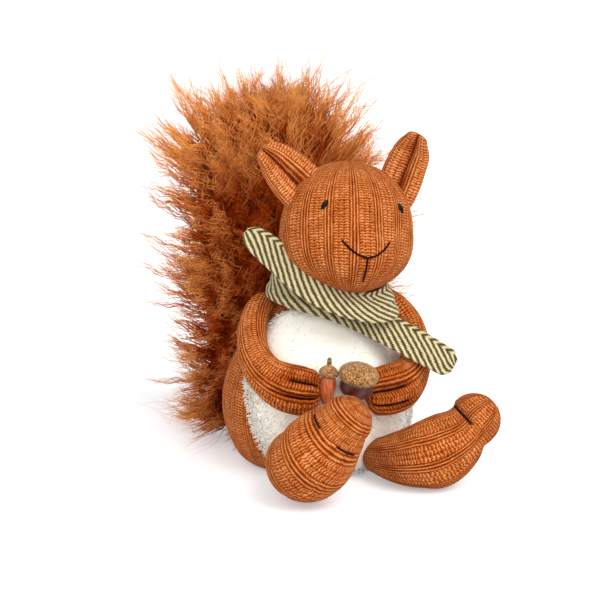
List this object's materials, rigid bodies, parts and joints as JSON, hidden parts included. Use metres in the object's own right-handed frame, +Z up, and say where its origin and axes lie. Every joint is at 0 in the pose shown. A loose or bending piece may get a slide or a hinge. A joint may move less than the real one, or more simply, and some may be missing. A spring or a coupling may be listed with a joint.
{
  "type": "plush squirrel",
  "caption": "Sitting plush squirrel with folded ears, a large fur tail, a cream belly, a wrapped scarf and acorns held between its hands.",
  "frame": {"origin": "centre of the flat base of the body, on the surface it sits on", "axes": "+Z up; the squirrel faces -Y; its own left is +X"},
  "size_m": [0.1818, 0.2791, 0.2562],
  "materials": {
    "knit": "chenille rib knit",
    "cream_pile": "short brushed pile",
    "tail_fur": "long wavy pile",
    "scarf_cloth": "herringbone weave",
    "dark_thread": "embroidery thread",
    "eye_black": "glossy",
    "nut_satin": "satin",
    "nut_dark": "dark satin",
    "cap_wool": "looped wool"
  },
  "bodies": {
    "root": {"body": "knit", "belly_patch": "cream_pile", "head": "knit", "ear_right": "knit", "ear_left": "knit", "eye_right": "eye_black", "eye_left": "eye_black", "mouth_thread": "dark_thread", "arm_right": "knit", "arm_left": "knit", "finger_thread_right_upper": "dark_thread", "finger_thread_right_lower": "dark_thread", "finger_thread_left_upper": "dark_thread", "finger_thread_left_lower": "dark_thread", "leg_right": "knit", "leg_left": "knit", "toe_thread_right_outer": "dark_thread", "toe_thread_right_inner": "dark_thread", "toe_thread_left": "dark_thread", "tail": "tail_fur", "scarf": "scarf_cloth", "acorn_small_nut": "nut_satin", "acorn_small_cap": "cap_wool", "acorn_large_nut": "nut_dark", "acorn_large_cap": "cap_wool"}
  },
  "joints": []
}
